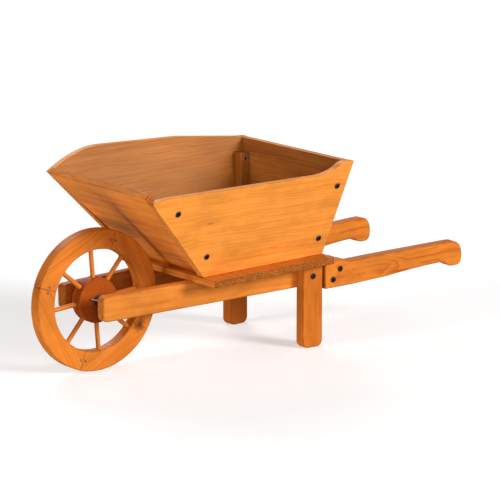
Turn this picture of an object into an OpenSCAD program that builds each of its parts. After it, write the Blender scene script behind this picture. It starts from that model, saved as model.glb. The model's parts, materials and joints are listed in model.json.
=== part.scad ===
// Wooden garden cart: a small wheelbarrow with a spoked wheel, a raked tub and two legs.
// X runs from the wheel to the handles, Y is across, Z is up, and the floor is Z = 0.
// The frame (rails, deck, tub, handles) rises gently to the back from the axle.

/* [Wheel] */
// Outside radius of the wheel
wheel_r = 125; // [115:1:135]
// Radial width of the rim
rim_w = 35; // [30:1:40]
// Rim thickness along the axle
rim_t = 22; // [18:1:26]
// Radius of the hub disc
hub_r = 40; // [34:1:46]
// Hub thickness along the axle
hub_t = 24; // [20:1:28]
// Diameter of the spoke dowels
spoke_d = 8; // [6:0.5:10]
// Angle of the first joint between rim segments
seam_angle = 72; // [0:1:89]
// Diameter of the axle rod
axle_d = 8; // [6:0.5:10]

/* [Frame] */
// Rise of the frame towards the handles, in degrees
pitch = 1.1; // [0.4:0.1:1.6]
// Outward splay of each rail, in degrees
splay = 3.8; // [2.5:0.1:4.2]
// Gap between the rails at the axle
rail_gap = 102; // [92:1:112]
// Rail thickness
rail_t = 20; // [18:1:22]
// Rail height
rail_h = 45; // [42:1:50]
// Rail length ahead of the axle
rail_lead = 29; // [24:1:36]
// Rail length behind the axle
rail_tail = 464; // [463:1:466]
// Corner radius at both ends of a rail
rail_round = 9; // [4:1:12]

/* [Deck] */
// Distance from the axle to the front edge of the deck
deck_front = 151; // [146:1:158]
// Length of the deck along the cart
deck_len = 272; // [268:1:276]
// Width of the deck across the cart
deck_w = 288; // [270:2:300]
// Deck thickness
deck_t = 12; // [10:1:14]
// Corner radius of the deck in plan
deck_round = 7; // [3:1:12]

/* [Tub] */
// Width of the tub over its foot
tub_w = 218; // [206:2:226]
// Outward lean of the side panels, in degrees
lean = 16.4; // [12:0.2:18]
// Thickness of a side panel
side_t = 14; // [12:1:16]
// Thickness of the front and rear panels
end_t = 12; // [10:1:14]
// Height of the near side panel near the wheel
side_h_front = 163; // [158:1:168]
// Height of the far side panel near the wheel, where it stands higher
far_h_front = 199; // [185:1:202]
// Height of the near side panel where its rear rise starts
side_h_rear = 155; // [150:1:160]
// Height of both side panels at their rear corner
side_h_back = 173; // [168:1:180]
// Width of a corner post
post_w = 20; // [20:1:22]
// Height of a corner post
post_h = 150; // [140:1:154]

/* [Legs] */
// Leg width along the cart
leg_w = 42; // [36:1:46]
// Leg thickness
leg_t = 22; // [18:1:24]
// Distance from the axle to the leg centre
leg_x = 394.7; // [390:0.5:400]
// Corner radius at the foot of a leg
leg_round = 12; // [6:1:16]

/* [Handles] */
// Distance from the axle to the front end of a handle
handle_start = 421; // [420:1:424]
// Distance from the axle to the tip of the grip
handle_end = 732; // [700:1:760]
// Handle thickness
handle_t = 22; // [18:1:24]

/* [Hardware] */
// Shank diameter of the bolts
bolt_d = 6; // [5:0.5:8]
// Head diameter of the bolts
bolt_head_d = 10.8; // [10:0.2:14]
// Head height of the bolts
bolt_head_h = 1.8; // [1.2:0.1:3]
// Diameter of the threaded inserts in the corner posts
insert_d = 9; // [8:0.5:10]
// Length of the threaded inserts
insert_h = 14; // [10:1:16]
// Diameter of the wood screws
screw_d = 4; // [3:0.5:5]
// Diameter of the pins that hold the wheel in the middle of the axle
pin_d = 3; // [2:0.5:3]
// Length of those pins
pin_l = 37; // [30:1:44]
// Length of a rim staple across its joint
staple_w = 11; // [9:1:13]
// Wire thickness of a rim staple
staple_wire = 1.4; // [1:0.1:1.8]
// Length of a rim staple's legs
staple_leg = 8; // [6:1:9]

/* [Hidden] */
$fn = 64;

wood = "#E0883A";
wood_side = "#EE9848";
wood_deep = "#B85A18";
wood_hub = "#B4520F";
steel = "#B9B6AE";
black = "#1B1815";

// The axle stands so that the middle of the cart's length and width is over the origin.
handle_reach = (handle_end * cos(splay) - rail_t * sin(splay)) * cos(pitch) + 0.2;
axle_x = (wheel_r - handle_reach) / 2;
rail_z = -1.5;
deck_z = rail_z + rail_h / 2;
top_z = deck_z + deck_t;
seat = 0.05;

// Height of the middle of a leg's joint over the floor.
leg_joint_z = wheel_r + leg_x * cos(splay) * sin(pitch) + rail_z;

// Foot and top of the raked front panel, and of the leaning rear panel, on their outer faces.
front_foot = deck_front + 15;
front_top = [9, 166.5];
rear_foot = deck_front + deck_len - 3.5;
rear_slope = 0.1926;
rake = atan((front_foot - front_top[0]) / front_top[1]);
rear_lean = atan(rear_slope);
front_slope = 0.878;
rear_edge = [[rear_foot + 1.5 + rear_slope * side_h_back, side_h_back], [rear_foot + 1.5, 0]];

// Outer and inner half width of the tub at height h over the deck.
function out_y(h) = tub_w / 2 + tan(lean) * h;
function in_y(h) = out_y(h) - side_t / cos(lean);

// The far side panel reaches further out, because it stands higher: the middle of the width
// is this far from the middle of the wheel.
mid_y = (out_y(far_h_front) - out_y(side_h_back + 1)) / 2;

// Quadratic curve through a control point, in n steps.
function bend(a, b, c, n = 8) =
    [for (i = [0:n]) let (t = i / n) (1 - t) * (1 - t) * a + 2 * t * (1 - t) * b + t * t * c];

// Points of an arc about c.
function arc(c, r, a0, a1, n = 10) =
    [for (i = [0:n]) let (a = a0 + (a1 - a0) * i / n) c + r * [cos(a), sin(a)]];

// Outlines of the side panels: distance from the axle, height over the deck.
// Both start at the foot, go up the raked front edge and end at the rear corner.
near_outline = concat(
    [[deck_front + 3.5, 0]],
    [[deck_front + 3.5 - front_slope * 156, 156]],
    bend([18, 158.2], [29, side_h_front + 0.8], [56, side_h_front]),
    [[150, side_h_front - 2]],
    bend([372, side_h_rear + 0.4], [401, side_h_rear], [416, side_h_rear + 10]),
    bend([421, side_h_rear + 13.8], [428, side_h_back + 0.5], [436, side_h_back + 1], 5),
    rear_edge);
far_outline = concat(
    [[deck_front + 3.5, 0]],
    bend([13.4, 166.6], [76, far_h_front + 1], [128, far_h_front], 12),
    bend([300, far_h_front - 8], [380, side_h_back + 8], [436, side_h_back + 1], 8),
    rear_edge);

// Outline of a handle along its rail: distance from the axle, height over the axle.
// It narrows behind the deck, and its grip ends in a knob that bulges downwards.
handle_outline = concat(
    [[handle_start, -30]],
    [[480, -29.6]],
    bend([555, -27], [635, -20], [handle_end - 56, -19.8], 6),
    bend([handle_end - 52, -19.8], [handle_end - 42, -20.5], [handle_end - 33, -26.5], 5),
    bend([handle_end - 31, -27.8], [handle_end - 25, -31], [handle_end - 14, -30.2], 5),
    bend([handle_end - 10, -29.8], [handle_end - 0.5, -28], [handle_end, -14], 7),
    bend([handle_end, -8], [handle_end - 2, 14], [handle_end - 20, 16.2], 8),
    [[handle_end - 34, 16.4]],
    [[530, 15.6]],
    bend([486, 14.8], [471, 13.8], [465, 18.6], 6),
    [[460, deck_z - 0.6]],
    [[handle_start, deck_z - 0.1]]);

tub_bolt_at = [[74.6, 131], [153.5, 39.5], [425, 129.5], [404.6, 33]];
handle_bolt_at = [[454.3, 3.4], [438.6, -14.5]];
deck_screw_x = [172, 222, 262, 311, 352, 402];
tub_screw_x = [205, 318];
hub_gap = 0.4;
washer_t = 1.6;
pin_y = hub_t / 2 + hub_gap + washer_t + pin_d / 2 + 0.1;
pin_turn = -90 + 16;
staple_sink = 0.6;

// ---------- placing ----------

// Frame coordinates: origin at the middle of the axle, X along the sloping frame.
module on_frame() {
    translate([axle_x, -mid_y, wheel_r])
        rotate([0, -pitch, 0])
            children();
}

// Wheel coordinates: origin at the middle of the axle, level.
module on_axle() {
    translate([axle_x, -mid_y, wheel_r])
        children();
}

// Coordinates of the far rail: X along it, Y outwards from its inner face.
module on_rail() {
    translate([0, rail_gap / 2, 0])
        rotate([0, 0, splay])
            children();
}

// Turns +Z to point out of the outer face of the far side panel at (x, h).
module on_side(x, h) {
    translate([x, out_y(h), top_z + h])
        rotate([-(90 + lean), 0, 0])
            children();
}

// The same part on the near side.
module near() {
    mirror([0, 1, 0])
        children();
}

// Lays a flat outline of (x, z) points in the XZ plane and extrudes it from y0 to y1.
module profile(points, y0, y1) {
    translate([0, y1, 0])
        rotate([90, 0, 0])
            linear_extrude(height = y1 - y0)
                polygon(points);
}

// Cutter that rounds a board's edge at the origin, running along Y.
// The board lies towards sx along X and towards -sz along Z.
module round_cut(r, length, sx = 1, sz = 1) {
    translate([0, -length / 2, 0])
        difference() {
            translate([sx > 0 ? -1 : -r, 0, sz > 0 ? -r : -1])
                cube([r + 1, length, r + 1]);
            translate([sx * r, -1, -sz * r])
                rotate([-90, 0, 0])
                    cylinder(r = r, h = length + 2);
        }
}

// ---------- hardware ----------

// Bolt with a low round head and a hexagon socket; the head stands on Z = 0, the shank goes down.
module bolt(length) {
    difference() {
        union() {
            cylinder(d = bolt_head_d, h = bolt_head_h * 0.6);
            translate([0, 0, bolt_head_h * 0.6])
                cylinder(d1 = bolt_head_d, d2 = bolt_head_d - 1.8, h = bolt_head_h * 0.4);
            translate([0, 0, -length])
                cylinder(d = bolt_d, h = length + 0.01);
        }
        translate([0, 0, -1.6])
            cylinder(d = 4.6, h = 6, $fn = 6);
    }
}

// Hexagon nut on a washer, under Z = 0.
module nut_and_washer() {
    difference() {
        union() {
            translate([0, 0, -1.2])
                cylinder(d = 13, h = 1.2);
            translate([0, 0, -6.2])
                cylinder(d = 11.5, h = 5.01, $fn = 6);
        }
        translate([0, 0, -8])
            cylinder(d = bolt_d + 2 * seat, h = 9);
    }
}

// Countersunk wood screw: head flush with Z = 0, pointing down.
module screw(length) {
    difference() {
        union() {
            translate([0, 0, -2.2])
                cylinder(d1 = screw_d, d2 = 2 * screw_d, h = 2.2);
            translate([0, 0, -length + 4])
                cylinder(d = screw_d, h = length - 6.1);
            translate([0, 0, -length])
                cylinder(d1 = 1, d2 = screw_d, h = 4);
        }
        translate([-2, -0.5, -1.4])
            cube([4, 1, 3]);
        translate([-0.5, -2, -1.4])
            cube([1, 4, 3]);
    }
}

// Hole that a screw fits.
module screw_hole(length) {
    translate([0, 0, -2.3])
        cylinder(d1 = screw_d + 2 * seat, d2 = 2 * screw_d + 0.3, h = 2.3);
    translate([0, 0, -0.01])
        cylinder(d = 2 * screw_d + 0.3, h = 3);
    translate([0, 0, -length - 0.4])
        cylinder(d = screw_d + 2 * seat, h = length + 0.3);
}

// Distance of a rail's middle line from the cart's middle, at distance x from the axle.
function rail_mid_y(x) = rail_gap / 2 + rail_t / 2 / cos(splay) + x * tan(splay);

module each_deck_screw() {
    for (x = deck_screw_x)
        translate([x, rail_mid_y(x), top_z])
            children();
}

// Screws through the deck from below into the foot of a side panel, along its lean.
module each_tub_screw() {
    for (x = tub_screw_x)
        translate([x, (out_y(0) + in_y(0)) / 2, top_z])
            rotate([-lean, 0, 0])
                translate([0, 0, -(deck_t / cos(lean) + 0.4)])
                    mirror([0, 0, 1])
                        children();
}

// ---------- frame ----------

module rail() {
    difference() {
        on_rail() {
            difference() {
                translate([-rail_lead, 0, rail_z - rail_h / 2])
                    cube([rail_lead + rail_tail, rail_t, rail_h]);
                for (up = [-1, 1]) {
                    translate([-rail_lead, 0, rail_z + up * rail_h / 2])
                        round_cut(rail_round, 3 * rail_t, 1, up);
                    translate([rail_tail, 0, rail_z + up * rail_h / 2])
                        round_cut(rail_round, 3 * rail_t, -1, up);
                }
                for (p = handle_bolt_at)
                    translate([p[0], -1, p[1]])
                        rotate([-90, 0, 0])
                            cylinder(d = bolt_d + 2 * seat, h = rail_t + 2);
                translate([leg_x, -1, rail_z])
                    rotate([-90, 0, 0])
                        cylinder(d = bolt_d + 2 * seat, h = rail_t + 2);
            }
        }
        rotate([-90, 0, 0])
            cylinder(d = axle_d + 2 * seat, h = rail_gap / 2 + 14);
        each_deck_screw()
            screw_hole(40);
    }
}

module rail_far() color(wood_side) on_frame() rail();
module rail_near() color(wood_side) on_frame() near() rail();

// The leg stands upright, and the floor cuts its foot level.
module leg() {
    difference() {
        on_rail()
            translate([leg_x, rail_t, rail_z])
                difference() {
                    rotate([0, pitch, 0])
                        difference() {
                            translate([-leg_w / 2, 0, -leg_joint_z - 3])
                                cube([leg_w, leg_t, leg_joint_z + rail_h / 2 + 6]);
                            translate([-leg_w / 2, 0, -leg_joint_z])
                                round_cut(leg_round, 3 * leg_t, 1, -1);
                            translate([leg_w / 2, 0, -leg_joint_z])
                                round_cut(leg_round, 3 * leg_t, -1, -1);
                            translate([0, -1, 0])
                                rotate([-90, 0, 0])
                                    cylinder(d = bolt_d + 2 * seat, h = leg_t + 2);
                        }
                    translate([-leg_w, -1, rail_h / 2])
                        cube([2 * leg_w, leg_t + 2, 20]);
                }
        rotate([0, pitch, 0])
            translate([-1000, -500, -wheel_r - 30])
                cube([2000, 1000, 30]);
    }
}

module leg_far() color(wood) on_frame() leg();
module leg_near() color(wood) on_frame() near() leg();

module handle() {
    on_rail()
        difference() {
            profile(handle_outline, rail_t, rail_t + handle_t);
            for (p = handle_bolt_at)
                translate([p[0], rail_t - 1, p[1]])
                    rotate([-90, 0, 0])
                        cylinder(d = bolt_d + 2 * seat, h = handle_t + 2);
        }
}

module handle_far() color(wood) on_frame() handle();
module handle_near() color(wood) on_frame() near() handle();

// Deck plate with four rounded corners.
module deck_plate() {
    r = deck_round;
    translate([deck_front, -deck_w / 2, deck_z])
        union() {
            translate([r, 0, 0])
                cube([deck_len - 2 * r, deck_w, deck_t]);
            translate([0, r, 0])
                cube([deck_len, deck_w - 2 * r, deck_t]);
            for (x = [r, deck_len - r], y = [r, deck_w - r])
                translate([x, y, 0])
                    cylinder(r = r, h = deck_t);
        }
}

module deck() {
    color(wood)
        on_frame()
            difference() {
                deck_plate();
                for (side = [0, 1])
                    mirror([0, side, 0]) {
                        each_deck_screw()
                            screw_hole(40);
                        each_tub_screw()
                            screw_hole(30);
                    }
            }
}

// ---------- tub ----------

// Slab that leans like the far side panel, from d0 to d1 inside its outer face.
module lean_slab(d0, d1, h0, h1) {
    c = 1 / cos(lean);
    translate([-50, 0, top_z])
        rotate([90, 0, 90])
            linear_extrude(height = 600)
                polygon([[out_y(h0) - d0 * c, h0], [out_y(h1) - d0 * c, h1],
                    [out_y(h1) - d1 * c, h1], [out_y(h0) - d1 * c, h0]]);
}

module side_panel(outline) {
    difference() {
        intersection() {
            translate([0, 0, top_z])
                profile(outline, 60, 260);
            lean_slab(0, side_t, -5, 240);
        }
        for (p = tub_bolt_at)
            on_side(p[0], p[1])
                translate([0, 0, -side_t - 5])
                    cylinder(d = bolt_d + 2 * seat, h = side_t + 10);
        each_tub_screw()
            screw_hole(30);
    }
}

module side_panel_far() color(wood_side) on_frame() side_panel(far_outline);
module side_panel_near() color(wood_side) on_frame() near() side_panel(near_outline);

// Room between the two side panels.
module between_sides() {
    translate([-50, 0, top_z])
        rotate([90, 0, 90])
            linear_extrude(height = 600)
                polygon([[-in_y(-5) + seat, -5], [in_y(-5) - seat, -5],
                    [in_y(200) - seat, 200], [-in_y(200) + seat, 200]]);
}

// Raked front panel: the top edge is cut square to its face.
module front_panel() {
    dx = end_t / cos(rake);
    color(wood_side)
        on_frame()
            intersection() {
                translate([0, 0, top_z])
                    profile([[front_foot, 0], front_top,
                        front_top + end_t * [cos(rake), sin(rake)], [front_foot + dx, 0]], -200, 200);
                between_sides();
            }
}

// Rear panel: the top edge is level.
module rear_panel() {
    dx = end_t / cos(rear_lean);
    color(wood_side)
        on_frame()
            intersection() {
                translate([0, 0, top_z])
                    profile([[rear_foot - dx, 0], [rear_foot, 0],
                        [rear_foot + rear_slope * side_h_back, side_h_back],
                        [rear_foot - dx + rear_slope * side_h_back, side_h_back]], -200, 200);
                between_sides();
            }
}

// Post in a corner of the tub. One side meets the end panel, whose inner face is at
// x = foot - slope * h; the opposite side is square to the side panel.
module post(foot, slope, way) {
    k = slope * cos(lean);
    free = foot - slope * side_t * sin(lean) + way * post_w * sqrt(1 + k * k);
    difference() {
        intersection() {
            translate([0, 0, top_z])
                profile([[foot, 0], [foot - slope * post_h, post_h],
                    [foot - slope * post_h + way * 200, post_h], [foot + way * 200, 0]], 40, 200);
            translate([0, out_y(0), top_z])
                rotate([-lean, 0, 0])
                    profile([[free + 30 * k, -30], [free - 200 * k, 200],
                        [free - 200 * k - way * 100, 200], [free + 30 * k - way * 100, -30]],
                        -side_t - post_w, -side_t - seat);
        }
        for (p = tub_bolt_at)
            on_side(p[0], p[1]) {
                translate([0, 0, -60])
                    cylinder(d = bolt_d + 2 * seat, h = 55);
                translate([0, 0, -side_t - post_w - 1])
                    cylinder(d = insert_d + 2 * seat, h = insert_h + 2);
            }
    }
}

module front_post() {
    post(front_foot + end_t / cos(rake) + seat, tan(rake), 1);
}

module rear_post() {
    post(rear_foot - end_t / cos(rear_lean) - seat, -rear_slope, -1);
}

module post_front_far() color(wood_deep) on_frame() front_post();
module post_front_near() color(wood_deep) on_frame() near() front_post();
module post_rear_far() color(wood_deep) on_frame() rear_post();
module post_rear_near() color(wood_deep) on_frame() near() rear_post();

// ---------- bolts, nuts and screws ----------

module tub_bolt_row() {
    for (p = tub_bolt_at)
        on_side(p[0], p[1])
            bolt(side_t + post_w - 1);
}

module tub_bolts() {
    color(black)
        on_frame() {
            tub_bolt_row();
            near()
                tub_bolt_row();
        }
}

// Threaded sleeves in the posts.
module insert_row() {
    for (p = tub_bolt_at)
        on_side(p[0], p[1])
            translate([0, 0, -side_t - post_w])
                difference() {
                    cylinder(d = insert_d, h = insert_h);
                    translate([0, 0, -1])
                        cylinder(d = bolt_d + 2 * seat, h = insert_h + 2);
                }
}

module tub_inserts() {
    color(steel)
        on_frame() {
            insert_row();
            near()
                insert_row();
        }
}

// Places a bolt or nut at each joint of the far rail; Y is measured from its inner face.
module each_frame_bolt(y_leg, y_handle) {
    on_rail() {
        translate([leg_x, y_leg, rail_z])
            rotate([-90, 0, 0])
                children();
        for (p = handle_bolt_at)
            translate([p[0], y_handle, p[1]])
                rotate([-90, 0, 0])
                    children();
    }
}

module frame_bolt_row() {
    each_frame_bolt(rail_t + leg_t, rail_t + handle_t)
        bolt(rail_t + leg_t + 7.5);
}

module frame_bolts() {
    color(black)
        on_frame() {
            frame_bolt_row();
            near()
                frame_bolt_row();
        }
}

module frame_nuts() {
    color(steel)
        on_frame() {
            each_frame_bolt(0, 0)
                nut_and_washer();
            near()
                each_frame_bolt(0, 0)
                    nut_and_washer();
        }
}

module deck_screws() {
    color(steel)
        on_frame() {
            each_deck_screw()
                screw(40);
            near()
                each_deck_screw()
                    screw(40);
        }
}

module tub_screws() {
    color(steel)
        on_frame() {
            each_tub_screw()
                screw(30);
            near()
                each_tub_screw()
                    screw(30);
        }
}

// ---------- axle ----------

// Fixed rod, let into blind holes in both rails, drilled for the two pins.
module axle() {
    length = rail_gap + 27;
    color(steel)
        on_frame()
            difference() {
                translate([0, -length / 2, 0])
                    rotate([-90, 0, 0])
                        cylinder(d = axle_d, h = length);
                for (s = [-1, 1])
                    translate([0, s * pin_y, 0])
                        rotate([0, pin_turn + pitch, 0])
                            cylinder(d = pin_d + 2 * seat, h = 20, center = true);
            }
}

// One washer each side of the hub.
module axle_washers() {
    color(steel)
        on_axle()
            for (s = [0, 1])
                mirror([0, s, 0])
                    translate([0, hub_t / 2 + hub_gap, 0])
                        rotate([-90, 0, 0])
                            difference() {
                                cylinder(d = 20, h = washer_t);
                                translate([0, 0, -1])
                                    cylinder(d = axle_d + 2 * seat, h = 4);
                            }
}

// Pins through the axle that keep the wheel in the middle.
module axle_pins() {
    color(steel)
        on_axle()
            for (s = [-1, 1])
                translate([0, s * pin_y, 0])
                    rotate([0, pin_turn, 0])
                        cylinder(d = pin_d, h = pin_l, center = true);
}

// ---------- wheel ----------

// Wedge of the wheel plane from angle a0 to a1.
module wedge(a0, a1) {
    rotate([90, 0, 0])
        translate([0, 0, -30])
            linear_extrude(height = 60)
                polygon([[0, 0], 200 * [cos(a0), sin(a0)],
                    220 * [cos((a0 + a1) / 2), sin((a0 + a1) / 2)], 200 * [cos(a1), sin(a1)]]);
}

// Ring about the axle with softened edges.
module soft_ring(r0, r1, t, c) {
    rotate([-90, 0, 0])
        rotate_extrude($fn = 128)
            polygon([[r0 + c, -t / 2], [r1 - c, -t / 2], [r1, -t / 2 + c], [r1, t / 2 - c],
                [r1 - c, t / 2], [r0 + c, t / 2], [r0, t / 2 - c], [r0, -t / 2 + c]]);
}

module spoke_hole(i, r0, r1) {
    rotate([0, 90 - (seam_angle + 22.5 + 45 * i), 0])
        translate([0, 0, r0])
            cylinder(d = spoke_d + 2 * seat, h = r1 - r0);
}

// Staple across the rim joint at angle a, sunk a little into both faces.
// A grow above 0 makes the slot that it sits in.
module staple(a, grow = 0) {
    over = grow > 0 ? 1 : 0;
    wire = staple_wire + 2 * grow;
    for (side = [0, 1])
        mirror([0, side, 0])
            rotate([0, 90 - a, 0])
                translate([0, rim_t / 2 - staple_sink, wheel_r - rim_w / 2]) {
                    translate([-staple_w / 2 - grow, -staple_wire - grow, -wire / 2])
                        cube([staple_w + 2 * grow, staple_wire + grow + over, wire]);
                    for (end = [-1, 1])
                        translate([end * (staple_w - staple_wire) / 2 - wire / 2, -staple_leg - grow, -wire / 2])
                            cube([wire, staple_leg + grow, wire]);
                }
}

// One quarter of the rim.
module felloe(k) {
    a = seam_angle + 90 * k;
    color(wood)
        on_axle()
            difference() {
                intersection() {
                    soft_ring(wheel_r - rim_w, wheel_r, rim_t, 1.2);
                    wedge(a + 0.1, a + 89.9);
                }
                for (j = [0, 1])
                    spoke_hole(2 * k + j, wheel_r - rim_w - 5, wheel_r - rim_w + 12);
                staple(a, seat);
                staple(a + 90, seat);
            }
}

module felloe_1() felloe(0);
module felloe_2() felloe(1);
module felloe_3() felloe(2);
module felloe_4() felloe(3);

module hub() {
    color(wood_hub)
        on_axle()
            difference() {
                soft_ring(0, hub_r, hub_t, 1.5);
                rotate([-90, 0, 0])
                    cylinder(d = axle_d + 0.12, h = hub_t + 2, center = true);
                for (i = [0:7])
                    spoke_hole(i, hub_r - 12, hub_r + 5);
            }
}

module spoke(i) {
    color(wood)
        on_axle()
            rotate([0, 90 - (seam_angle + 22.5 + 45 * i), 0])
                translate([0, 0, hub_r - 12])
                    cylinder(d = spoke_d, h = wheel_r - rim_w + 12 - (hub_r - 12), $fn = 32);
}

module spoke_1() spoke(0);
module spoke_2() spoke(1);
module spoke_3() spoke(2);
module spoke_4() spoke(3);
module spoke_5() spoke(4);
module spoke_6() spoke(5);
module spoke_7() spoke(6);
module spoke_8() spoke(7);

// Steel staples that hold the four rim joints together.
module rim_staples() {
    color(steel)
        on_axle()
            for (k = [0:3])
                staple(seam_angle + 90 * k);
}

// ---------- drawing ----------

rail_near();
rail_far();
deck();
side_panel_near();
side_panel_far();
front_panel();
rear_panel();
post_front_near();
post_front_far();
post_rear_near();
post_rear_far();
handle_near();
handle_far();
leg_near();
leg_far();
axle();
axle_washers();
axle_pins();
tub_bolts();
tub_inserts();
frame_bolts();
frame_nuts();
deck_screws();
tub_screws();
felloe_1();
felloe_2();
felloe_3();
felloe_4();
hub();
spoke_1();
spoke_2();
spoke_3();
spoke_4();
spoke_5();
spoke_6();
spoke_7();
spoke_8();
rim_staples();
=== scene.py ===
import json
import math
import random

import bmesh
import bpy
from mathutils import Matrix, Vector


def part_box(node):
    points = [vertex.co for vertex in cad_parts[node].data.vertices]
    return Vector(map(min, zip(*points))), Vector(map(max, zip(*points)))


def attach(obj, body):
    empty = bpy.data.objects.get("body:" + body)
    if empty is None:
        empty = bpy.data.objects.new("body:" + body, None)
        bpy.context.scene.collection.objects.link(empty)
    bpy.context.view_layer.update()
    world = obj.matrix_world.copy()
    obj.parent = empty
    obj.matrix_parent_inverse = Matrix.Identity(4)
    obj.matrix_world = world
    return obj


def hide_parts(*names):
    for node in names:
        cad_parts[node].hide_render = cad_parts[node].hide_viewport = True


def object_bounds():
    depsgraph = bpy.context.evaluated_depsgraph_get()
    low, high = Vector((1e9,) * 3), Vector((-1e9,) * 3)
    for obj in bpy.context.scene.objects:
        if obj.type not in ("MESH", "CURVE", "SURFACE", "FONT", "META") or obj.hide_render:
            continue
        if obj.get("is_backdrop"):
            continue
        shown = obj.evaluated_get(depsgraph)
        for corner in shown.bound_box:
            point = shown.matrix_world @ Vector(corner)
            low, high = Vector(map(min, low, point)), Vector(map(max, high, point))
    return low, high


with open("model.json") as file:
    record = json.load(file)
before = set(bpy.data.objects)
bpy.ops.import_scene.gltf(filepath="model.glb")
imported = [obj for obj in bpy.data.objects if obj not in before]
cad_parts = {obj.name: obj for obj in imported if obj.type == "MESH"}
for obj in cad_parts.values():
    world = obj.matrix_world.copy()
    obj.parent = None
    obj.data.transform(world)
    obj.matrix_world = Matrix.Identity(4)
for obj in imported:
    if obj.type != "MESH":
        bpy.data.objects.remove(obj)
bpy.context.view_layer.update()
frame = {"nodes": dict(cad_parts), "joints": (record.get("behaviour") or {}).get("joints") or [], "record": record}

rng = random.Random(41)

MM = 0.001
BODIES = frame["record"]["behaviour"]["bodies"]
AXLE = Vector(frame["joints"][0]["pos_m"])
AXLE_DIRECTION = Vector(frame["joints"][0]["axis"])
DECK_LOW, DECK_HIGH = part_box("deck")


# ---------------------------------------------------------------- materials

# Cycles per metre of each pattern in the wood: along, across and through the piece.
DRIFT = (7, 16, 16)
FIBRE = (14, 620, 620)
STREAK = (4, 105, 105)
CLOUD = (9, 24, 24)
BLOTCH = (45, 70, 70)
PORES = (10, 62, 62)
SAW_MARKS = (420, 300, 520)
EDGE_PATCHES = (60, 60, 60)

WOOD_IOR = 1.45
WOOD_SPECULAR = 0.14
# How dark the painted shade inside the tub makes the wood.
INSIDE_SHADE_TONE = 0.50
NAIL_STAIN = (0.030, 0.012, 0.004, 1)
FLOOR_WHITE = (0.72, 0.72, 0.72, 1)
FLOOR_GLOW = 0.43


class Nodes:
    """A material's node tree, with short calls that add a node and join it up."""

    def __init__(self, name):
        self.material = bpy.data.materials.new(name)
        self.material.use_nodes = True
        self.tree = self.material.node_tree
        self.shader = self.tree.nodes["Principled BSDF"]

    def add(self, kind, settings=None, **inputs):
        node = self.tree.nodes.new("ShaderNode" + kind)
        for key, value in (settings or {}).items():
            setattr(node, key, value)
        for key, value in inputs.items():
            self.put(node.inputs[key.replace("_", " ")], value)
        return node

    def put(self, socket, value):
        if isinstance(value, bpy.types.NodeSocket):
            self.tree.links.new(value, socket)
        else:
            socket.default_value = value

    def shade(self, **inputs):
        """Sets inputs of the material's shader."""
        for key, value in inputs.items():
            self.put(self.shader.inputs[key.replace("_", " ")], value)

    def math(self, operation, a, b=0.0, clamp=False):
        node = self.add("Math", {"operation": operation, "use_clamp": clamp})
        self.put(node.inputs[0], a)
        self.put(node.inputs[1], b)
        return node.outputs[0]

    def vector(self, operation, *values, output="Vector"):
        node = self.add("VectorMath", {"operation": operation})
        for i, value in enumerate(values):
            self.put(node.inputs[i], value)
        return node.outputs[output]

    def stretch(self, vector, rates):
        """The vector with each axis multiplied, so that a noise is drawn out along the grain."""
        return self.vector("MULTIPLY", vector, rates)

    def noise(self, vector, scale=1.0, detail=2.0, rough=0.5, colour=False):
        node = self.add("TexNoise", Vector=vector, Scale=scale, Detail=detail, Roughness=rough)
        return node.outputs["Color" if colour else "Fac"]

    def range(self, value, low, high, to_low=0.0, to_high=1.0):
        node = self.add("MapRange", {"clamp": True})
        for i, v in enumerate((value, low, high, to_low, to_high)):
            self.put(node.inputs[i], v)
        return node.outputs[0]

    def blend(self, factor, a, b):
        node = self.add("Mix", {"data_type": "RGBA"})
        for i, value in ((0, factor), (6, a), (7, b)):
            self.put(node.inputs[i], value)
        return node.outputs[2]

    def attribute(self, name, output="Fac"):
        return self.add("Attribute", {"attribute_name": name}).outputs[output]

    def uneven(self, value, pattern, spread):
        """The value made up to that fraction larger or smaller by a noise."""
        factor = self.range(pattern, 0.3, 0.7, 1 - spread, 1 + spread)
        return self.math("MULTIPLY", value, factor)


def knot_fields(n, grain, knots):
    """How far the rings bend out round the knots, and how dark the knots are."""
    bent, dark = 0.0, 0.0
    for centre, size, darkness in knots:
        gap = n.vector("DISTANCE", n.attribute("rest", "Vector"), centre, output="Value")
        gap = n.uneven(gap, n.noise(grain, scale=160.0), 0.3)
        near = n.range(gap, 0.2 * size, size, 1.0, 0.0)
        bent = n.math("ADD", n.math("MULTIPLY", near, 1.2 * size), bent)
        dark = n.math("MAXIMUM", n.math("MULTIPLY", near, darkness), dark)
    return bent, dark


def growth_rings(n, grain, ring, wander, bent):
    """Late wood: 0 in the light part of each ring, rising to 1 at its dark edge."""
    drift = n.noise(n.stretch(grain, DRIFT), colour=True)
    centred = n.vector("SUBTRACT", drift, (0.5, 0.5, 0.5))
    place = n.vector("MULTIPLY_ADD", centred, (0.0, wander, wander), grain)
    across = n.stretch(place, (0, 1, 1))
    radius = n.math("ADD", n.vector("LENGTH", across, output="Value"), bent)
    wobble = n.math("MULTIPLY", n.noise(across, scale=55.0), 2.6)
    phase = n.math("FRACT", n.math("ADD", n.math("DIVIDE", radius, ring), wobble))
    return n.math("MULTIPLY", n.range(phase, 0.30, 0.86), n.range(phase, 0.88, 1.0, 1.0, 0.0))


def painted_wheel_shadow(n, cloud, middle):
    """Painted shade, the wheel's shadow: darkest at the middle of a soft patch, which is drawn out across the
    cart.
    """
    gap = n.vector("SUBTRACT", n.attribute("rest", "Vector"), middle)
    reach = n.vector("LENGTH", n.stretch(gap, (1.0, 0.45, 1.0)), output="Value")
    return n.range(n.uneven(reach, cloud, 0.4), 4 * MM, 42 * MM, 0.55, 1.0)


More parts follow.
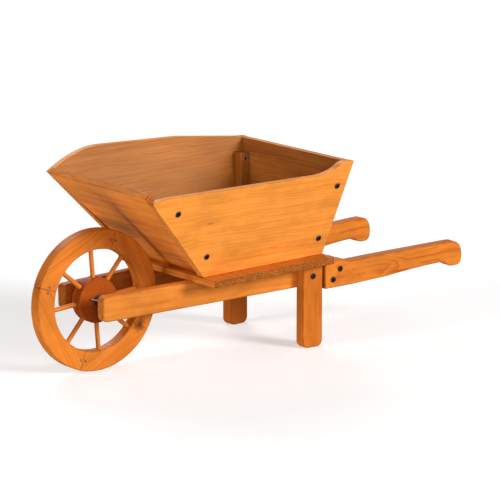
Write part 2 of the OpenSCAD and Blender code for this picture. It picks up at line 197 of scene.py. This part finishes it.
def nail_stain(n, fibre, places):
    """How stained the wood is round metal that goes in at places in the wheel's plane."""
    flat = n.stretch(n.attribute("rest", "Vector"), (1, 0, 1))
    nearest = 1.0
    for place in places:
        nearest = n.math("MINIMUM", n.vector("DISTANCE", flat, place, output="Value"), nearest)
    return n.range(n.uneven(nearest, fibre, 0.3), 1.0 * MM, 2.6 * MM, 0.85, 0.0)


def open_pores(n, grain):
    """Short dark flecks along the grain, in about one cell out of seven."""
    cells = n.add("TexVoronoi", Vector=n.stretch(grain, PORES), Scale=1.0)
    chance = n.add("SeparateColor")
    n.put(chance.inputs[0], cells.outputs["Color"])
    return n.math("MULTIPLY", n.range(cells.outputs["Distance"], 0.04, 0.10, 1.0, 0.0),
                  n.math("GREATER_THAN", chance.outputs[0], 0.86))


def wood(name, light, dark, deep, ring=5.0 * MM, contrast=0.55, wander=22 * MM,
         knots=(), nailed=(), painted_shadow=None):
    """Stained softwood. light and dark are early and late wood, deep is end grain and knots.

    It is cut out of a log: the grain attribute holds metres along the pith and across it, so the
    rings are straight or arched on a face and curved on an end. The rest attribute is the point's
    own place, where knots are given as (centre, size, how dark); the rings bend round them.
    nailed are the places in the wheel's plane where metal goes in and has stained the wood.
    The last argument is the middle of a soft dark patch of painted shade, the wheel's shadow on the panel.
    """
    n = Nodes(name)
    light, dark, deep = ((*shade, 1.0) for shade in (light, dark, deep))
    grain = n.attribute("grain", "Vector")
    bent, dark_knot = knot_fields(n, grain, knots)
    late = growth_rings(n, grain, ring, wander, bent)
    fibre = n.noise(n.stretch(grain, FIBRE), detail=3.0, rough=0.6)
    streak = n.noise(n.stretch(grain, STREAK), detail=3.0, rough=0.55)
    cloud = n.noise(n.stretch(grain, CLOUD), detail=3.0)
    blotch = n.noise(n.stretch(grain, BLOTCH))

    ring_strength = n.math("MULTIPLY", late, n.range(streak, 0.32, 0.66, 0.35, 1.0))
    fibre_dark = n.math("MULTIPLY", n.range(fibre, 0.36, 0.70), 0.24)
    streak_dark = n.math("MULTIPLY", n.range(streak, 0.42, 0.72), 0.34)
    amount = n.math("ADD", n.math("MULTIPLY", ring_strength, contrast), fibre_dark)
    amount = n.math("ADD", amount, streak_dark, clamp=True)
    colour = n.blend(amount, light, dark)

    tone = n.range(cloud, 0.30, 0.70, 0.82, 1.10)
    tone = n.math("MULTIPLY", tone, n.range(blotch, 0.30, 0.70, 0.95, 1.04))
    # Painted shade inside the tub: faces that look into it are darker.
    tone = n.math("MULTIPLY", tone, n.range(n.attribute("inside"), 0.0, 1.0, 1.0, INSIDE_SHADE_TONE))
    # Painted shade: the wheel's shadow darkens the front panel round this middle.
    if painted_shadow is not None:
        tone = n.math("MULTIPLY", tone, painted_wheel_shadow(n, cloud, painted_shadow))
    toned = n.add("VectorMath", {"operation": "SCALE"}, Scale=tone)
    n.put(toned.inputs[0], colour)

    pore = open_pores(n, grain)
    colour = n.blend(n.math("MULTIPLY", pore, 0.65), toned.outputs[0], deep)
    end = n.attribute("end_grain")
    saw = n.noise(n.stretch(grain, SAW_MARKS), detail=3.0, rough=0.65)
    cut = n.math("ADD", n.range(saw, 0.36, 0.64, 0.05, 0.75), n.math("MULTIPLY", late, 0.40))
    colour = n.blend(n.math("MULTIPLY", end, cut, clamp=True), colour, deep)
    # Rounded edges darkened in patches towards the deep colour: partly dirt, partly painted shade.
    edge_patches = n.noise(n.stretch(grain, EDGE_PATCHES), detail=3.0, rough=0.6)
    edge_dirt_and_shade = n.math("MULTIPLY", n.attribute("edge"), n.range(edge_patches, 0.35, 0.70, 0.10, 0.55))
    colour = n.blend(edge_dirt_and_shade, colour, deep)
    colour = n.blend(dark_knot, colour, deep)
    if nailed:
        colour = n.blend(nail_stain(n, fibre, nailed), colour, NAIL_STAIN)

    rough = n.math("ADD", n.range(amount, 0.0, 0.9, 0.40, 0.52), n.math("MULTIPLY", end, 0.18))
    rough = n.math("ADD", rough, n.range(blotch, 0.3, 0.7, -0.05, 0.05))
    height = n.math("ADD", n.math("MULTIPLY", fibre, 0.55), n.math("MULTIPLY", late, 0.30))
    height = n.math("SUBTRACT", height, n.math("MULTIPLY", pore, 0.6))
    height = n.math("ADD", height, n.math("MULTIPLY", n.math("MULTIPLY", saw, end), 1.2))
    bump = n.add("Bump", Strength=0.35, Distance=0.30 * MM, Height=height)
    n.shade(Base_Color=colour, Roughness=rough, Normal=bump.outputs[0],
            IOR=WOOD_IOR, Specular_IOR_Level=WOOD_SPECULAR)
    return n.material


def metal(name, colour, stain, metallic, roughness, speck):
    """Bolts and zinc: a thin worn surface over metal, duller where the stain colour shows."""
    n = Nodes(name)
    place = n.add("TexCoord").outputs["Object"]
    patches = n.noise(place, scale=420.0, detail=3.0, rough=0.6)
    bump = n.add("Bump", Strength=0.25, Distance=0.08 * MM, Height=n.noise(place, scale=speck))
    n.shade(Base_Color=n.blend(n.range(patches, 0.40, 0.68), (*colour, 1.0), (*stain, 1.0)),
            Roughness=n.range(patches, 0.30, 0.70, roughness, roughness + 0.22),
            Metallic=metallic, Normal=bump.outputs[0])
    return n.material


def staple_legs():
    """Where the legs of the rim staples go in, as points in the XZ plane."""
    legs = []
    for vert in frame["nodes"]["rim_staples"].data.vertices:
        if abs(vert.co.y - AXLE.y) < 4 * MM:
            point = Vector((vert.co.x, 0.0, vert.co.z))
            leg = next((known for known in legs if (known[0] - point).length < 3 * MM), None)
            if leg is None:
                legs.append([point])
            else:
                leg.append(point)
    return [sum(leg, Vector()) / len(leg) for leg in legs]


# A knot in the rim below the rails, a patch of painted shade on the front panel where the wheel's shadow falls,
# and a swirl in a handle just behind the deck.
FELLOE_KNOT = AXLE + Vector((0.087, -0.011, -0.058))
WHEEL_SHADOW_MIDDLE = AXLE + Vector((0.097, 0.054, 0.106))
HANDLE_KNOT = Vector((DECK_HIGH.x + 0.057, DECK_LOW.y + 0.015, DECK_LOW.z - 0.016))
STAPLE_LEGS = staple_legs()

# Linear colours of the wood: early wood, late wood, and end grain with knots.
WHEEL_LIGHT, WHEEL_DARK = (0.76, 0.222, 0.026), (0.540, 0.130, 0.011)
HANDLE = (0.78, 0.230, 0.027), (0.500, 0.105, 0.009), (0.220, 0.046, 0.005)

WOODS = {
    "panel": wood("pine_panel", (0.93, 0.335, 0.055), (0.760, 0.215, 0.026),
                  (0.160, 0.034, 0.004), ring=5.5 * MM, contrast=0.50),
    "end_panel": wood("pine_end_panel", (0.86, 0.280, 0.045), (0.560, 0.145, 0.019),
                      (0.150, 0.035, 0.005), contrast=0.62, painted_shadow=WHEEL_SHADOW_MIDDLE),
    "rail": wood("pine_rail", (0.78, 0.255, 0.036), (0.600, 0.155, 0.016),
                 (0.230, 0.050, 0.006), contrast=0.45),
    # A darker copy of the rail wood: painted shade for the far rail, which lies in shadow under the tub.
    "shaded_far_rail": wood("pine_far_rail", (0.54, 0.155, 0.018), (0.400, 0.090, 0.008),
                     (0.160, 0.032, 0.004), contrast=0.45),
    "handle": wood("pine_handle", *HANDLE, ring=6.0 * MM, contrast=0.60),
    "leg": wood("pine_leg", (0.66, 0.180, 0.018), (0.500, 0.110, 0.008),
                (0.150, 0.030, 0.003), ring=4.0 * MM, contrast=0.45),
    # A darker copy of the leg wood: painted shade for the far leg, which stands in shadow under the cart.
    "shaded_far_leg": wood("pine_far_leg", (0.38, 0.090, 0.008), (0.280, 0.056, 0.004),
                    (0.110, 0.022, 0.002), ring=4.0 * MM, contrast=0.45),
    "deck": wood("pine_deck", (0.67, 0.215, 0.030), (0.440, 0.108, 0.011),
                 (0.140, 0.027, 0.003), ring=3.6 * MM, contrast=0.65),
    "wheel": wood("pine_wheel", WHEEL_LIGHT, WHEEL_DARK,
                  (0.170, 0.034, 0.004), contrast=0.50, nailed=STAPLE_LEGS),
    "knotty": wood("pine_knotty", WHEEL_LIGHT, WHEEL_DARK,
                   (0.110, 0.024, 0.003), contrast=0.50, knots=[(FELLOE_KNOT, 15 * MM, 0.9)],
                   nailed=STAPLE_LEGS),
    "near_handle": wood("pine_near_handle", *HANDLE, contrast=0.70, wander=34 * MM,
                        knots=[(HANDLE_KNOT, 26 * MM, 0.05)]),
    "hub": wood("pine_hub", (0.50, 0.100, 0.004), (0.380, 0.066, 0.003),
                (0.300, 0.050, 0.002), ring=3.2 * MM),
    "spoke": wood("pine_spoke", (0.74, 0.230, 0.030), (0.560, 0.145, 0.014),
                  (0.200, 0.044, 0.006), ring=2.6 * MM, contrast=0.45),
}
BLACK = metal("black_bolt", (0.014, 0.013, 0.012), (0.030, 0.026, 0.023), 0.35, 0.34, 2600)
# Near black steel for the axle and its washers: painted shade in the middle of the hub.
SHADED_STEEL = metal("steel_painted_shade", (0.10, 0.075, 0.055), (0.05, 0.035, 0.025), 0.8, 0.45, 1800)
ZINC = metal("zinc_steel", (0.66, 0.65, 0.62), (0.42, 0.40, 0.37), 1.0, 0.30, 1800)


# ---------------------------------------------------------------- pieces

WELD = 0.004 * MM
FLAT = math.radians(0.4)
SHARP = math.radians(32)
SHADED_SHARP = math.radians(40)
ROUNDING_STEPS = 3
# Holes and shanks with a radius below this keep their edges, in wood and in metal.
SMALL_WOOD = 6.5 * MM
SMALL_METAL = 0.9 * MM

TUB_MIDDLE = (DECK_LOW + DECK_HIGH) / 2 + Vector((0.0, 0.0, 0.08))
TUB_WALLS = ("side_panel_near", "side_panel_far", "front_panel", "rear_panel")


def clean_copy(node):
    """The CAD node's mesh as one welded surface, with each flat face whole again."""
    bm = bmesh.new()
    bm.from_mesh(frame["nodes"][node].data)
    for layer in list(bm.loops.layers.uv):
        bm.loops.layers.uv.remove(layer)
    bmesh.ops.remove_doubles(bm, verts=bm.verts, dist=WELD)
    bmesh.ops.dissolve_limit(bm, angle_limit=FLAT, verts=bm.verts, edges=bm.edges)
    bm.normal_update()
    return bm


def is_sharp(edge, angle=SHARP):
    return len(edge.link_faces) == 2 and edge.calc_face_angle() > angle


def edge_line(edge):
    return edge.verts[1].co - edge.verts[0].co


def rounds_a_hole(edge, smallest):
    """True if a sharp edge is a step of a curve with a smaller radius than that."""
    turns = []
    for vert in edge.verts:
        ahead = [e for e in vert.link_edges if e is not edge and is_sharp(e)]
        if not ahead:
            return False
        line = edge.other_vert(vert).co - vert.co
        turns.append(min(math.pi - line.angle(e.other_vert(vert).co - vert.co) for e in ahead))
    return min(turns) > 0.02 and edge.calc_length() / min(turns) < smallest


def soften(bm, width, smallest):
    """Rounds over the sharp outside edges and marks the new faces, which the wood darkens in patches: partly dirt,
    partly painted shade along the rounded edges.
    """
    edge_dirt_and_shade = bm.faces.layers.float.new("edge")
    chosen = [e for e in bm.edges
              if is_sharp(e) and e.is_convex and not rounds_a_hole(e, smallest)]
    made = bmesh.ops.bevel(bm, geom=chosen, offset=width, offset_type="OFFSET",
                           segments=ROUNDING_STEPS, profile=0.5, affect="EDGES",
                           clamp_overlap=True)
    for face in made["faces"]:
        face[edge_dirt_and_shade] = 1.0


def main_normal(bm):
    """The direction in which the most of the surface faces."""
    totals = []
    for face in bm.faces:
        for entry in totals:
            if abs(entry[0].dot(face.normal)) > 0.995:
                entry[1] += face.calc_area()
                break
        else:
            totals.append([face.normal.copy(), face.calc_area()])
    return max(totals, key=lambda entry: entry[1])[0]


def centre_of(bm):
    total = sum(f.calc_area() for f in bm.faces)
    return sum((f.calc_center_median() * f.calc_area() for f in bm.faces), Vector()) / total


def grain_direction(node, bm, centre, thick):
    """Along the spoke, through the hub, along a felloe's chord, or along the longest edge."""
    if node == "hub":
        return AXLE_DIRECTION.copy()
    out = centre - AXLE
    out -= AXLE_DIRECTION * out.dot(AXLE_DIRECTION)
    if node.startswith("spoke"):
        return out.normalized()
    if node.startswith("felloe"):
        return out.cross(AXLE_DIRECTION).normalized()
    flat = [e for e in bm.edges if abs(edge_line(e).normalized().dot(thick)) < 0.1]
    return edge_line(max(flat, key=lambda e: e.calc_length())).normalized()


def grain_axes(node, bm):
    """The piece's centre, and its directions along the grain, across it and through it."""
    centre = centre_of(bm)
    thick = main_normal(bm)
    along = grain_direction(node, bm, centre, thick)
    if abs(along.dot(thick)) > 0.5:
        thick = along.orthogonal()
    across = thick.cross(along).normalized()
    return centre, along, across, along.cross(across)


def lay_grain(bm, axes, pith):
    """Stores each point's place in the log, and how squarely each face cuts the fibres."""
    centre, along, across, thick = axes
    grain = bm.verts.layers.float_vector.new("grain")
    offset = Vector((rng.uniform(-3, 3), pith[0], pith[1]))
    for vert in bm.verts:
        local = vert.co - centre
        vert[grain] = Vector((local.dot(along), local.dot(across), local.dot(thick))) + offset
    rest = bm.verts.layers.float_vector.new("rest")
    for vert in bm.verts:
        vert[rest] = vert.co
    ends = bm.faces.layers.float.new("end_grain")
    for face in bm.faces:
        slope = abs(face.normal.dot(along))
        face[ends] = min(1.0, max(0.0, (slope - 0.35) / 0.5)) ** 1.5


def darken_inside(node, bm, centre):
    """Marks the faces of the tub that look into it, which the wood then darkens as painted shade inside the tub.
    """
    inside = bm.faces.layers.float.new("inside")
    inwards = (TUB_MIDDLE - centre).normalized()
    for face in bm.faces:
        if node.startswith("post") or (node in TUB_WALLS and face.normal.dot(inwards) > 0.6):
            face[inside] = 1.0


def finished(node, material, width, smallest, pith=None):
    """Makes a softened copy of a CAD node, which then stands for it."""
    bm = clean_copy(node)
    axes = grain_axes(node, bm)
    soften(bm, width, smallest)
    if pith is not None:
        lay_grain(bm, axes, pith)
        darken_inside(node, bm, axes[0])
    for edge in bm.edges:
        edge.smooth = not is_sharp(edge, SHADED_SHARP)
    for face in bm.faces:
        face.smooth = True
    mesh = bpy.data.meshes.new(node + "_piece")
    bm.to_mesh(mesh)
    bm.free()
    piece = bpy.data.objects.new(node + "_piece", mesh)
    bpy.context.scene.collection.objects.link(piece)
    mesh.materials.append(material)
    weighted = piece.modifiers.new("even_normals", "WEIGHTED_NORMAL")
    weighted.keep_sharp = True
    body = next(name for name, members in BODIES.items() if node in members)
    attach(piece, body)
    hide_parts(node)


# Each timber: its wood, how much its edges are rounded in millimetres, and where the pith lies
# across and through the piece, both from its centre.
TIMBER = {
    "rail_near": ("rail", 3.0, (0.040, 0.090)),
    "rail_far": ("shaded_far_rail", 3.0, (-0.030, 0.070)),
    "deck": ("deck", 1.2, (0.046, -0.060)),
    "side_panel_near": ("panel", 1.0, (0.150, 0.090)),
    "side_panel_far": ("panel", 1.0, (-0.120, 0.080)),
    "front_panel": ("end_panel", 1.0, (0.060, 0.050)),
    "rear_panel": ("end_panel", 1.0, (-0.090, 0.060)),
    "handle_near": ("near_handle", 2.0, (0.010, 0.050)),
    "handle_far": ("handle", 2.0, (-0.020, 0.050)),
    "leg_near": ("leg", 1.8, (0.030, 0.070)),
    "leg_far": ("shaded_far_leg", 1.8, (-0.040, 0.060)),
    "hub": ("hub", 1.2, (0.012, 0.018)),
}
for corner in ("front_near", "front_far", "rear_near", "rear_far"):
    TIMBER["post_" + corner] = ("rail", 1.0, (rng.uniform(-0.03, 0.03), 0.05))
for number in range(1, 5):
    low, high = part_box("felloe_%d" % number)
    middle = (low + high) / 2
    kind = "knotty" if middle.x > AXLE.x and middle.z < AXLE.z else "wheel"
    pith = (rng.uniform(0.03, 0.08), rng.uniform(0.03, 0.06))
    TIMBER["felloe_%d" % number] = (kind, 1.5, pith)
for number in range(1, 9):
    TIMBER["spoke_%d" % number] = ("spoke", 0.3, (rng.uniform(-0.01, 0.01), 0.02))

# Each fastener: its metal, and how much its edges are rounded in millimetres.
HARDWARE = {
    "tub_bolts": (BLACK, 0.7), "frame_bolts": (BLACK, 0.7), "frame_nuts": (ZINC, 0.2),
    "tub_inserts": (ZINC, 0.2), "deck_screws": (ZINC, 0.2), "tub_screws": (ZINC, 0.2),
    "axle": (SHADED_STEEL, 0.5), "axle_washers": (SHADED_STEEL, 0.2), "axle_pins": (ZINC, 0.3),
    "rim_staples": (ZINC, 0.2),
}

for node, (kind, width, pith) in TIMBER.items():
    finished(node, WOODS[kind], width * MM, SMALL_WOOD, pith)
for node, (material, width) in HARDWARE.items():
    finished(node, material, width * MM, SMALL_METAL)


# ---------------------------------------------------------------- floor, light, camera

FLOOR_HALF_WIDTH = 30.0
AMBIENT = 0.15
# Each broad distant light: the way from the cart to it, its strength, its width in degrees.
LIGHTS = {
    "key": ((0.40, -0.88, 0.38), 2.95, 24),
    "front": ((-0.42, -0.88, 0.22), 0.85, 30),
    "fill": ((-0.92, 0.10, 0.36), 1.05, 18),
    "bounce": ((-0.70, -0.06, -0.72), 1.60, 40),
    "back": ((0.30, 0.85, 0.60), 1.2, 35),
}
# The camera sees the cart as the photograph does, with the wheel to the left.
CAMERA_AZIMUTH = math.radians(-38.161)
CAMERA_ELEVATION = math.radians(12.794)
CAMERA_DISTANCE = 5.0415
CAMERA_TARGET = AXLE + Vector((0.34180, 0.0, 0.03938))
CAMERA_SENSOR = 36.0
CAMERA_LENS = 201.82


def studio_floor():
    mesh = bpy.data.meshes.new("floor")
    bm = bmesh.new()
    bmesh.ops.create_grid(bm, x_segments=8, y_segments=8, size=FLOOR_HALF_WIDTH)
    bm.to_mesh(mesh)
    bm.free()
    n = Nodes("floor_white")
    n.shade(Base_Color=FLOOR_WHITE, Roughness=0.9, Specular_IOR_Level=0.0,
            Emission_Color=(1, 1, 1, 1), Emission_Strength=FLOOR_GLOW)
    mesh.materials.append(n.material)
    floor = bpy.data.objects.new("floor", mesh)
    bpy.context.scene.collection.objects.link(floor)
    floor.visible_diffuse = False
    floor.visible_glossy = False
    floor.visible_shadow = False
    floor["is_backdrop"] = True


def studio_light():
    world = bpy.data.worlds.new("studio")
    bpy.context.scene.world = world
    world.use_nodes = True
    background = world.node_tree.nodes["Background"]
    background.inputs["Color"].default_value = (1.0, 1.0, 1.0, 1)
    background.inputs["Strength"].default_value = AMBIENT
    for name, (towards, strength, spread) in LIGHTS.items():
        data = bpy.data.lights.new(name, "SUN")
        data.energy = strength
        data.angle = math.radians(spread)
        light = bpy.data.objects.new(name, data)
        light.rotation_mode = "QUATERNION"
        light.rotation_quaternion = Vector(towards).to_track_quat("Z", "Y")
        bpy.context.scene.collection.objects.link(light)


def photo_camera():
    back = Vector((math.sin(CAMERA_AZIMUTH) * math.cos(CAMERA_ELEVATION),
                   -math.cos(CAMERA_AZIMUTH) * math.cos(CAMERA_ELEVATION),
                   math.sin(CAMERA_ELEVATION)))
    data = bpy.data.cameras.new("camera")
    data.sensor_width = CAMERA_SENSOR
    data.lens = CAMERA_LENS
    camera = bpy.data.objects.new("camera", data)
    camera.location = CAMERA_TARGET + CAMERA_DISTANCE * back
    camera.rotation_mode = "QUATERNION"
    camera.rotation_quaternion = (-back).to_track_quat("-Z", "Y")
    bpy.context.scene.collection.objects.link(camera)
    bpy.context.scene.camera = camera


studio_floor()
studio_light()
photo_camera()
bpy.context.scene.view_settings.view_transform = "Standard"

low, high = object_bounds()
